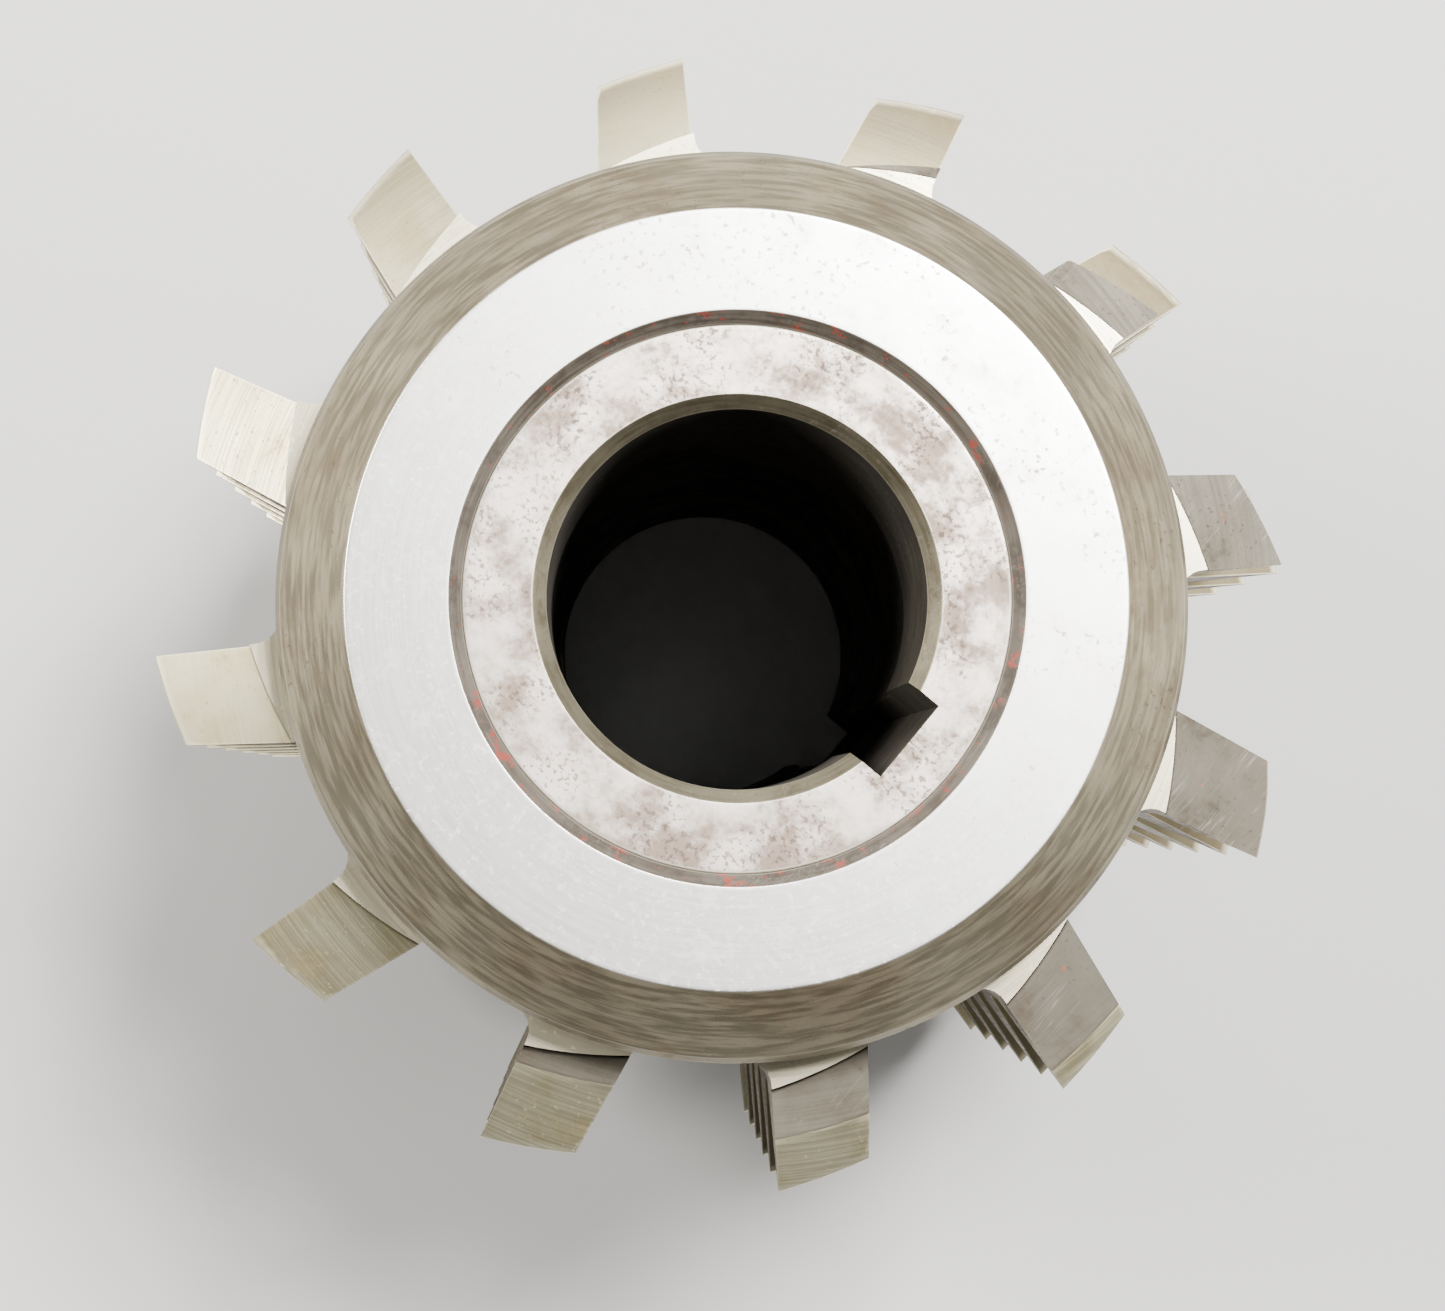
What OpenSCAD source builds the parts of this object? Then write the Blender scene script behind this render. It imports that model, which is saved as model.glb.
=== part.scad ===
// Built-up gear hob: a keyed carrier, twelve inserted rack blades and two shrunk-on end rings.
// The bore runs along Z. The origin is the middle of the rear face and the front face is up.

/* [Overall] */
// Length over the two end faces
hob_length = 140; // [112:1:200]
// Outer diameter over the tips of the cutting edges
tip_diameter = 160; // [152:0.5:200]

/* [Bore and keyway] */
// Bore that takes the arbor
bore_diameter = 50; // [40:0.5:60]
// Chamfer at each mouth of the bore
bore_chamfer = 1.8; // [0.4:0.1:3]
// Length of the ground land at each end of the bore
land_length = 32; // [20:1:42]
// Radial depth of the turned relief between the lands
bore_relief = 1; // [0.3:0.1:2]
// Width of the keyway
key_width = 12; // [8:0.5:16]
// Depth of the keyway below the bore wall
key_depth = 4.2; // [2:0.1:5.5]
// Fillet in the keyway's two floor corners
key_fillet = 0.6; // [0.2:0.1:1.5]

/* [Carrier] */
// Depth of the gullets below the root of the cutting face
gullet_depth = 4; // [3:0.1:5.5]
// Depth of the blade slots below the gullets
slot_depth = 15.6; // [11:0.1:17]
// Length of the shoulder under each ring's skirt
shoulder_length = 7; // [4:0.5:9]
// Wall between the bore and the spigot that each ring is shrunk on
spigot_wall = 11; // [8:0.5:13]
// How far the spigot's end stands back from the ring's ground face
spigot_recess = 1.6; // [0.5:0.1:3]

/* [End rings] */
// Axial length of each ring
ring_length = 17.5; // [14.5:0.5:22]
// How far each ring stays inside the circle of the gullets
ring_step = 0.35; // [0:0.05:2]
// Wall of each ring's skirt
skirt_wall = 8.25; // [6:0.25:10]
// Height and depth of the 45 degree cone round the ground contact face
cone_size = 10.25; // [6:0.25:13]
// Chamfer at the ring's bore
ring_bore_chamfer = 1.65; // [0.5:0.05:2.5]
// Small chamfer between the cone and the ring's outside
ring_edge_chamfer = 0.8; // [0.3:0.1:1.5]

/* [Blades] */
// Number of blades
blade_count = 12; // [12:1:12]
// Angle from the middle of the keyway to the first cutting face
first_blade_angle = 14.5; // [0:0.5:29.5]
// Width of a blade in its slot, behind the cutting face
blade_back = 13.6; // [11:0.1:16.4]
// Width of the toe in front of the cutting face
blade_toe = 4; // [3:0.1:5]
// Radius of the gullet at the foot of the cutting face
gullet_radius = 3.5; // [2:0.1:3.9]
// Slope of the heel face away from the cutting face
heel_slope = 3.6; // [0:0.1:8]

/* [Teeth] */
// Axial pitch of the thread
axial_pitch = 18.85; // [12:0.05:25]
// Tooth height at the cutting face
tooth_height = 14.4; // [12:0.1:17.4]
// Flat width of a tooth's crest
crest_width = 0.7; // [0.6:0.1:4]
// Rounding of the two crest corners
crest_radius = 0.4; // [0.1:0.1:1]
// Flank angle of the rack profile
flank_angle = 20; // [14.5:0.5:25]
// Slope of the crest down behind the cutting edge
crest_slope = 15.5; // [8:0.1:18]
// Slope of the lands between the teeth down behind the cutting face
root_slope = 19.2; // [10:0.1:22]
// How far the teeth end inside the blade's own end face
tooth_setback = 1.8; // [0.5:0.1:4]
// Height of the first blade's front crest above the plane where the teeth end
thread_offset = 0.1; // [-9:0.1:9]

/* [Hidden] */
$fn = 96;
tip_radius = tip_diameter / 2;
root_radius = tip_radius - tooth_height;
core_radius = root_radius - gullet_depth;
slot_floor = core_radius - slot_depth;
ring_radius = core_radius - ring_step;
shoulder_radius = ring_radius - skirt_wall;
face_radius = ring_radius - cone_size;
bore_radius = bore_diameter / 2;
spigot_radius = bore_radius + spigot_wall;
key_floor = bore_radius + key_depth;
blade_step = 360 / blade_count;
tongue_length = ring_length - shoulder_length;
teeth_from = ring_length + tooth_setback;
teeth_to = hob_length - teeth_from;
lead_slope = atan(axial_pitch / (2 * PI * tip_radius));
// The flank angle square to the way the rack profile is swept, which leans by the crest's slope
swept_flank = atan(tan(flank_angle) / cos(crest_slope));
overcut = 1;
arc_steps = 5;
// Most of the height and the toe in front of a cutting face that its gullet's arc may take
gullet_share = 0.95;
function polar(radius, angle) = [radius * cos(angle), radius * sin(angle)];
// The points of an arc from one angle to another
function arc(centre, radius, from, to) =
    [for (i = [0 : arc_steps]) centre + polar(radius, from + (to - from) * i / arc_steps)];

// ---- Carrier ----

module bore_mouth() {
    // Chamfer of the bore at a spigot's end
    translate([0, 0, spigot_recess - overcut])
        cylinder(h = bore_chamfer + overcut, r1 = bore_radius + bore_chamfer + overcut, r2 = bore_radius);
}

module keyway_section() {
    corner = [key_floor - key_fillet, key_width / 2 - key_fillet];
    translate([0, -key_width / 2])
        square([corner[0], key_width]);
    translate([0, -corner[1]])
        square([key_floor, 2 * corner[1]]);
    for (side = [-1, 1])
        translate([corner[0], side * corner[1]])
            circle(r = key_fillet);
}

module carrier_blank() {
    rotate_extrude()
        polygon([
            [0, spigot_recess], [spigot_radius, spigot_recess],
            [spigot_radius, tongue_length], [shoulder_radius, tongue_length],
            [shoulder_radius, ring_length], [core_radius, ring_length],
            [core_radius, hob_length - ring_length], [shoulder_radius, hob_length - ring_length],
            [shoulder_radius, hob_length - tongue_length], [spigot_radius, hob_length - tongue_length],
            [spigot_radius, hob_length - spigot_recess], [0, hob_length - spigot_recess]]);
}

module blade_slot() {
    translate([slot_floor, -blade_toe, tongue_length])
        cube([core_radius, blade_toe + blade_back, hob_length - 2 * tongue_length]);
}

module hob_body() {
    color("darkgray")
        difference() {
            carrier_blank();
            cylinder(h = hob_length, r = bore_radius);
            translate([0, 0, land_length])
                cylinder(h = hob_length - 2 * land_length, r = bore_radius + bore_relief);
            linear_extrude(height = hob_length)
                keyway_section();
            bore_mouth();
            translate([0, 0, hob_length])
                mirror([0, 0, 1])
                    bore_mouth();
            for (i = [0 : blade_count - 1])
                rotate([0, 0, first_blade_angle + i * blade_step])
                    blade_slot();
        }
}

// ---- Blades ----
// A blade is drawn with its cutting face on the XZ plane and its back on the +Y side.

module root_section() {
    // Foot, back, sloping root land, cutting face and gullet
    top_back = root_radius - blade_back * tan(root_slope);
    toe_top = sqrt(core_radius * core_radius - blade_toe * blade_toe);
    bend = min(gullet_radius, gullet_share * (root_radius - toe_top), gullet_share * blade_toe);
    polygon(concat(
        [[slot_floor, -blade_toe], [toe_top, -blade_toe]],
        arc([toe_top + bend, -bend], bend, 180, 90),
        [[root_radius, 0], [top_back, blade_back], [slot_floor, blade_back]]));
}

module tongue_section() {
    // The part of the foot that lies under a ring's skirt
    intersection() {
        translate([slot_floor, -blade_toe])
            square([core_radius, blade_toe + blade_back]);
        circle(r = shoulder_radius);
    }
}

module tooth_bounds() {
    // What lies between the cutting face and the heel face
    outside = tip_radius + overcut;
    polygon([
        [slot_floor, 0], [outside, 0],
        [outside, blade_back - (outside - core_radius) * tan(heel_slope)],
        [core_radius, blade_back], [slot_floor, blade_back]]);
}

module rack_section(crest_height) {
    // The rack profile of one blade: radius along X and axial place along Y
    half_crest = crest_width / 2;
    base_radius = core_radius;
    half_base = half_crest + (tip_radius - base_radius) * tan(swept_flank);
    corner = [tip_radius - crest_radius, half_crest - crest_radius * tan(45 - swept_flank / 2)];
    count = ceil(hob_length / axial_pitch) + 1;
    for (i = [0 : count])
        translate([0, crest_height - i * axial_pitch])
            polygon(concat(
                [[base_radius, -half_base]],
                arc([corner[0], -corner[1]], crest_radius, swept_flank - 90, 0),
                arc(corner, crest_radius, 0, 90 - swept_flank),
                [[base_radius, half_base]]));
}

module blade_teeth(index) {
    crest_height = teeth_to + thread_offset + index * axial_pitch / blade_count;
    swing = blade_back * 2;
    intersection() {
        translate([0, 0, teeth_from])
            linear_extrude(height = teeth_to - teeth_from)
                tooth_bounds();
        // The profile is carried backwards, inwards and along the thread
        translate([tip_radius, 0, crest_height])
            rotate([lead_slope, 0, crest_slope])
                translate([-tip_radius, 0, -crest_height])
                    rotate([90, 0, 0])
                        translate([0, 0, -swing])
                            linear_extrude(height = swing * 1.5)
                                rack_section(crest_height);
    }
}

module blade(index) {
    color("tan")
        rotate([0, 0, first_blade_angle + index * blade_step])
            union() {
                translate([0, 0, ring_length])
                    linear_extrude(height = hob_length - 2 * ring_length)
                        root_section();
                translate([0, 0, tongue_length])
                    linear_extrude(height = hob_length - 2 * tongue_length)
                        tongue_section();
                blade_teeth(index);
            }
}

// ---- End rings ----

module end_ring() {
    // A ring whose ground face lies on Z = 0
    rotate_extrude()
        polygon([
            [spigot_radius + ring_bore_chamfer, 0], [face_radius, 0],
            [ring_radius - ring_edge_chamfer, cone_size - ring_edge_chamfer],
            [ring_radius, cone_size + ring_edge_chamfer],
            [ring_radius, ring_length], [shoulder_radius, ring_length],
            [shoulder_radius, tongue_length], [spigot_radius, tongue_length],
            [spigot_radius, ring_bore_chamfer]]);
}

module front_end_ring() {
    color("lightgray")
        translate([0, 0, hob_length])
            mirror([0, 0, 1])
                end_ring();
}

module rear_end_ring() {
    color("lightgray")
        end_ring();
}

hob_body();
blade(0);  // blade_01
blade(1);  // blade_02
blade(2);  // blade_03
blade(3);  // blade_04
blade(4);  // blade_05
blade(5);  // blade_06
blade(6);  // blade_07
blade(7);  // blade_08
blade(8);  // blade_09
blade(9);  // blade_10
blade(10);  // blade_11
blade(11);  // blade_12
front_end_ring();
rear_end_ring();
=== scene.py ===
import math

import bmesh
import bpy
import numpy as np
from mathutils import Matrix, Vector


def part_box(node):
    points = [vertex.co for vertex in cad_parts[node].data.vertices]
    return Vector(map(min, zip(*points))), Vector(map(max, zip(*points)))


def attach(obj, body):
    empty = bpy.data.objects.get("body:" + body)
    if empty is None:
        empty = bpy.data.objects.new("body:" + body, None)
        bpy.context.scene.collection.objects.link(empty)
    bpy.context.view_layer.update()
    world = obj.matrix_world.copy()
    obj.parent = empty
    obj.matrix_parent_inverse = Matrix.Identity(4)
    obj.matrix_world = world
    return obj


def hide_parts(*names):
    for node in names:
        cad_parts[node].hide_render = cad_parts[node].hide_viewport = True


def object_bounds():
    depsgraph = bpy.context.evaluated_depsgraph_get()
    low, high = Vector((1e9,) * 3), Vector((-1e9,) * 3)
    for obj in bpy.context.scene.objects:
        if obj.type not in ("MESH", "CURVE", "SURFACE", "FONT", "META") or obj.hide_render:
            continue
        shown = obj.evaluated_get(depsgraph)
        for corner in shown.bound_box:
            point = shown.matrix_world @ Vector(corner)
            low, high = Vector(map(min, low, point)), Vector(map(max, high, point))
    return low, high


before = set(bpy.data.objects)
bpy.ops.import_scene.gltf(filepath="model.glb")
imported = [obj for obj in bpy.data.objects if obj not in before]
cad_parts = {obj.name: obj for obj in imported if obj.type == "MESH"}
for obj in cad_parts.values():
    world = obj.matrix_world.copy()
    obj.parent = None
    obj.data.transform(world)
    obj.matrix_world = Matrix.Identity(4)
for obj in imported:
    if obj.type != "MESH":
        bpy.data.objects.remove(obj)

mm = 0.001
mergeDistance = 0.002 * mm  # points nearer to each other than this become one
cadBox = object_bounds()
frontZ = cadBox[1][2]  # the front end ring's ground face; the rear one is at zero
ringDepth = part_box("rear_end_ring")[1][2]
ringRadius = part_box("rear_end_ring")[1][0]
print("frame loaded, length", round(frontZ / mm, 2), "mm")


def gridQuads(rows, columns, wrapColumns=True, wrapRows=False):
    # vertex numbers of the quads between neighbouring rows and neighbouring columns of a grid
    r = np.arange(rows if wrapRows else rows - 1)[:, None]
    c = np.arange(columns if wrapColumns else columns - 1)[None, :]
    nextRow = (r + 1) % rows
    nextColumn = (c + 1) % columns
    here, nextUp = r * columns, nextRow * columns
    corners = [here + c, here + nextColumn, nextUp + nextColumn, nextUp + c]
    return np.stack(np.broadcast_arrays(*corners), axis=-1).reshape(-1, 4)


def sweptShell(points, finish, wearAndHighlight, foot):
    # a closed shell: rows of one closed contour, joined by quads, with a flat cap at each end
    rows, columns = points.shape[:2]
    return {
        "points": points.reshape(-1, 3),
        "quads": gridQuads(rows, columns),
        "caps": [list(range(columns))[::-1], list(range((rows - 1) * columns, rows * columns))],
        "finish": finish.ravel(),
        "capFinish": [0, 0],
        "wearAndHighlight": wearAndHighlight.ravel(),
        "foot": foot.ravel(),
    }


def ringShell(points, finish, wearAndHighlight):
    # a closed shell with no caps: the grid runs round the axis and round the section
    rows, columns = points.shape[:2]
    return {
        "points": points.reshape(-1, 3),
        "quads": gridQuads(rows, columns, wrapRows=True),
        "caps": [],
        "finish": np.tile(finish, rows),
        "capFinish": [],
        "wearAndHighlight": np.broadcast_to(wearAndHighlight, (rows, columns)).ravel(),
        "foot": np.zeros(rows * columns),
    }


def buildPiece(name, shell, finishes, node, smoothAngle=32):
    # makes a mesh of the shell, merges what coincides, turns every face outwards and stands it in for the
    # CAD node
    mesh = bpy.data.meshes.new(name)
    mesh.from_pydata(shell["points"].tolist(), [], shell["quads"].tolist() + shell["caps"])
    numbers = np.concatenate([shell["finish"], shell["capFinish"]]).astype(np.int32)
    mesh.polygons.foreach_set("material_index", numbers)
    for label in ("wearAndHighlight", "foot"):
        layer = mesh.attributes.new(label, "FLOAT", "POINT")
        layer.data.foreach_set("value", shell[label].astype(np.float32))
    work = bmesh.new()
    work.from_mesh(mesh)
    bmesh.ops.remove_doubles(work, verts=work.verts, dist=mergeDistance)
    bmesh.ops.dissolve_degenerate(work, edges=work.edges, dist=mergeDistance)
    bmesh.ops.recalc_face_normals(work, faces=work.faces)
    work.to_mesh(mesh)
    work.free()
    for finish in finishes:
        mesh.materials.append(finish)
    mesh.shade_smooth()
    mesh.set_sharp_from_angle(angle=math.radians(smoothAngle))
    piece = bpy.data.objects.new(name, mesh)
    bpy.context.collection.objects.link(piece)
    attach(piece, "root")
    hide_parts(node)


def roundedOutline(corners, steps=4, guard=0.4 * mm):
    # Swaps each corner (radius, height, rounding) of a closed outline for a small arc that touches both
    # sides. A point of the arc is its first radius times the sine of the angle still to go, plus its last
    # radius times the sine of the angle gone, over the sine of the whole turn. A guard point on each side
    # keeps the flats' shading flat. The second result is 1 on the arcs and 0 on the guards.
    corners = np.array(corners)[:, None, :]
    here, rounding = corners[..., :2], corners[..., 2:]
    before, after = np.roll(here, 1, axis=0) - here, np.roll(here, -1, axis=0) - here
    before /= np.linalg.norm(before, axis=-1, keepdims=True)
    after /= np.linalg.norm(after, axis=-1, keepdims=True)
    half = 0.5 * np.arccos(np.clip(np.sum(before * after, axis=-1, keepdims=True), -1, 1))
    turn = np.pi - 2 * half
    reach = rounding / np.tan(half)
    inwards = (before + after) / np.linalg.norm(before + after, axis=-1, keepdims=True)
    centre = here + inwards * rounding / np.sin(half)
    first, last = here + before * reach - centre, here + after * reach - centre
    k = np.linspace(0, 1, steps + 1)[:, None]
    arc = centre + (np.sin((1 - k) * turn) * first + np.sin(k * turn) * last) / np.sin(turn)
    path = np.concatenate([here + before * (reach + guard), arc, here + after * (reach + guard)], axis=1)
    edge = np.ones(path.shape[:2])
    edge[:, [0, -1]] = 0
    return path.reshape(-1, 2), edge.ravel()


def newGroup(name, inputs, outputs):
    # an empty shader group with (name, kind, starting value) inputs and (name, kind) outputs
    group = bpy.data.node_groups.new(name, "ShaderNodeTree")
    for label, kind, value in inputs:
        group.interface.new_socket(name=label, in_out="INPUT", socket_type=kind).default_value = value
    for label, kind in outputs:
        group.interface.new_socket(name=label, in_out="OUTPUT", socket_type=kind)
    return group, group.nodes.new("NodeGroupInput"), group.nodes.new("NodeGroupOutput")


def feed(tree, socket, source):
    # a socket takes either another socket's value or a plain one
    if isinstance(source, bpy.types.NodeSocket):
        tree.links.new(source, socket)
    else:
        socket.default_value = source


def maths(tree, operation, a, b=0.0, clamp=False):
    # one operation on two values, held between 0 and 1 where clamp is on
    node = tree.nodes.new("ShaderNodeMath")
    node.operation = operation
    node.use_clamp = clamp
    feed(tree, node.inputs[0], a)
    feed(tree, node.inputs[1], b)
    return node.outputs[0]


def ramp(tree, value, low, high, toLow=0.0, toHigh=1.0):
    # a smooth step: toLow below low, toHigh above high, 3k^2 - 2k^3 of the way between them
    node = tree.nodes.new("ShaderNodeMapRange")
    node.interpolation_type = "SMOOTHSTEP"
    for socket, source in zip(node.inputs[:5], (value, low, high, toLow, toHigh)):
        feed(tree, socket, source)
    return node.outputs[0]


def blendColour(tree, share, a, b, mode="MIX"):
    # colour a with that share of colour b laid over it
    node = tree.nodes.new("ShaderNodeMix")
    node.data_type = "RGBA"
    node.blend_type = mode
    feed(tree, node.inputs["Factor"], share)
    feed(tree, node.inputs[6], a)
    feed(tree, node.inputs[7], b)
    return node.outputs[2]


def noise(tree, vector, scale, detail=3.0, roughness=0.5, w=None):
    # fractal noise from 0 to 1 with its middle at 0.5; w is a fourth axis that it also changes along
    node = tree.nodes.new("ShaderNodeTexNoise")
    node.noise_dimensions = "3D" if w is None else "4D"
    feed(tree, node.inputs["Vector"], vector)
    feed(tree, node.inputs["Scale"], scale)
    node.inputs["Detail"].default_value = detail
    node.inputs["Roughness"].default_value = roughness
    if w is not None:
        feed(tree, node.inputs["W"], w)
    return node.outputs["Fac"]


def objectPoint(tree):
    # the place on the piece in metres, in the shared frame
    return tree.nodes.new("ShaderNodeTexCoord").outputs["Object"]


def makeMarksGroup():
    # Tool marks that run round the axis. The noise changes fast along radius plus a share of the height,
    # and slowly along the direction from the axis, so that it is drawn out into circles. Bands are the
    # same, eight times wider.
    group, given, result = newGroup("toolMarks", [
        ("Lines per metre", "NodeSocketFloat", 900.0),
        ("Height share", "NodeSocketFloat", 0.37),
        ("Wander", "NodeSocketFloat", 1.5)], [("Marks", "NodeSocketFloat"), ("Bands", "NodeSocketFloat")])
    parts = group.nodes.new("ShaderNodeSeparateXYZ")
    feed(group, parts.inputs[0], objectPoint(group))
    x, y, z = parts.outputs
    squares = maths(group, "ADD", maths(group, "MULTIPLY", x, x), maths(group, "MULTIPLY", y, y))
    radius = maths(group, "SQRT", squares)
    around = group.nodes.new("ShaderNodeCombineXYZ")
    for socket, side in zip(around.inputs, (x, y)):
        direction = maths(group, "DIVIDE", side, radius)
        feed(group, socket, maths(group, "MULTIPLY", direction, given.outputs["Wander"]))
    along = maths(group, "ADD", radius, maths(group, "MULTIPLY", z, given.outputs["Height share"]))
    place = maths(group, "MULTIPLY", along, given.outputs["Lines per metre"])
    feed(group, result.inputs["Marks"], noise(group, around.outputs[0], 1.0, 2.0, 0.6, place))
    slow = maths(group, "MULTIPLY", place, 0.12)
    feed(group, result.inputs["Bands"], noise(group, around.outputs[0], 0.3, 3.0, 0.6, slow))
    return group


def makeStainGroup():
    # Oil and rust stains: soft patches, broken up by a noise seven times finer, cut off below the spread
    group, given, result = newGroup("oilStain", [
        ("Size", "NodeSocketFloat", 60.0),
        ("Spread", "NodeSocketFloat", 0.55),
        ("Softness", "NodeSocketFloat", 0.12)], [("Stain", "NodeSocketFloat"), ("Cloud", "NodeSocketFloat")])
    point = objectPoint(group)
    patches = noise(group, point, given.outputs["Size"], 5.0, 0.62)
    fine = noise(group, point, maths(group, "MULTIPLY", given.outputs["Size"], 7.0), 3.0, 0.6)
    patchShare = 0.72
    mixed = maths(group, "ADD", maths(group, "MULTIPLY", patches, patchShare),
                  maths(group, "MULTIPLY", fine, 1 - patchShare))
    top = maths(group, "ADD", given.outputs["Spread"], given.outputs["Softness"])
    feed(group, result.inputs["Stain"], ramp(group, mixed, given.outputs["Spread"], top))
    feed(group, result.inputs["Cloud"], patches)
    return group


def makeSpecksGroup():
    # Small dark pits: the peaks of a fine noise, kept only where a wider noise is high
    group, given, result = newGroup("specks", [
        ("Specks per metre", "NodeSocketFloat", 900.0),
        ("Threshold", "NodeSocketFloat", 0.62)], [("Specks", "NodeSocketFloat")])
    point = objectPoint(group)
    fine = noise(group, point, given.outputs["Specks per metre"], 3.0, 0.6)
    wide = noise(group, point, maths(group, "MULTIPLY", given.outputs["Specks per metre"], 0.09), 2.0, 0.5)
    full = maths(group, "ADD", given.outputs["Threshold"], 0.07)  # where a speck is at its darkest
    dots = ramp(group, fine, given.outputs["Threshold"], full)
    feed(group, result.inputs["Specks"], maths(group, "MULTIPLY", dots, ramp(group, wide, 0.36, 0.6)))
    return group


def makeScratchGroup():
    # Fine straight scratches in two directions: a noise drawn out along each, of which only the narrow band
    # round its middle value is kept, and only where a wide noise is high
    group, given, result = newGroup("scratches", [
        ("Scratches per metre", "NodeSocketFloat", 700.0)], [("Scratches", "NodeSocketFloat")])
    point = objectPoint(group)
    total = 0.0
    layTurns, stretch, halfBand = (0.5, 2.1), 0.035, 0.012  # the turns are in radians
    for turn in layTurns:
        lay = group.nodes.new("ShaderNodeMapping")
        lay.inputs["Rotation"].default_value = (0, 0, turn)
        lay.inputs["Scale"].default_value = (1, stretch, 1)
        feed(group, lay.inputs["Vector"], point)
        grain = noise(group, lay.outputs[0], given.outputs["Scratches per metre"], 2.0, 0.5)
        gap = maths(group, "ABSOLUTE", maths(group, "SUBTRACT", grain, 0.5))
        some = ramp(group, noise(group, point, 45.0 + 20 * turn, 2.0), 0.5, 0.62)  # where they lie
        thin = ramp(group, gap, 0.0, halfBand, 1.0, 0.0)
        total = maths(group, "MAXIMUM", total, maths(group, "MULTIPLY", thin, some))
    feed(group, result.inputs["Scratches"], total)
    return group


marksGroup = makeMarksGroup()
stainGroup = makeStainGroup()
specksGroup = makeSpecksGroup()
scratchGroup = makeScratchGroup()
print("shader groups built")


def placeGroup(tree, group, values):
    # one use of a shader group, with its own value on each named input
    node = tree.nodes.new("ShaderNodeGroup")
    node.node_tree = group
    for label, value in values.items():
        node.inputs[label].default_value = value
    return node


def vertexValue(tree, label):
    # a piece's own value at each point, smoothly changing between the points
    node = tree.nodes.new("ShaderNodeAttribute")
    node.attribute_name = label
    return node.outputs["Fac"]


# What every finish shares
masks = {
    # the noise where each starts and where it is full
    "cloud": (0.34, 0.66), "line": (0.38, 0.62), "band": (0.35, 0.65),
    # where the brighter edge, wear with a painted highlight, starts and is full, and how ragged it is
    "wearAndHighlightMask": (0.7, 1.3), "wearAndHighlightRagged": 0.5, "rustSoftness": 0.03,
    # the teeth nearer to the middle than this have cut more and carry burnt-on oil
    "usedFrom": 40 * mm, "usedFade": 6 * mm, "usedRagged": 4 * mm,
    "speckRough": 0.25, "footRough": 0.25,  # added roughness
}


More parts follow.
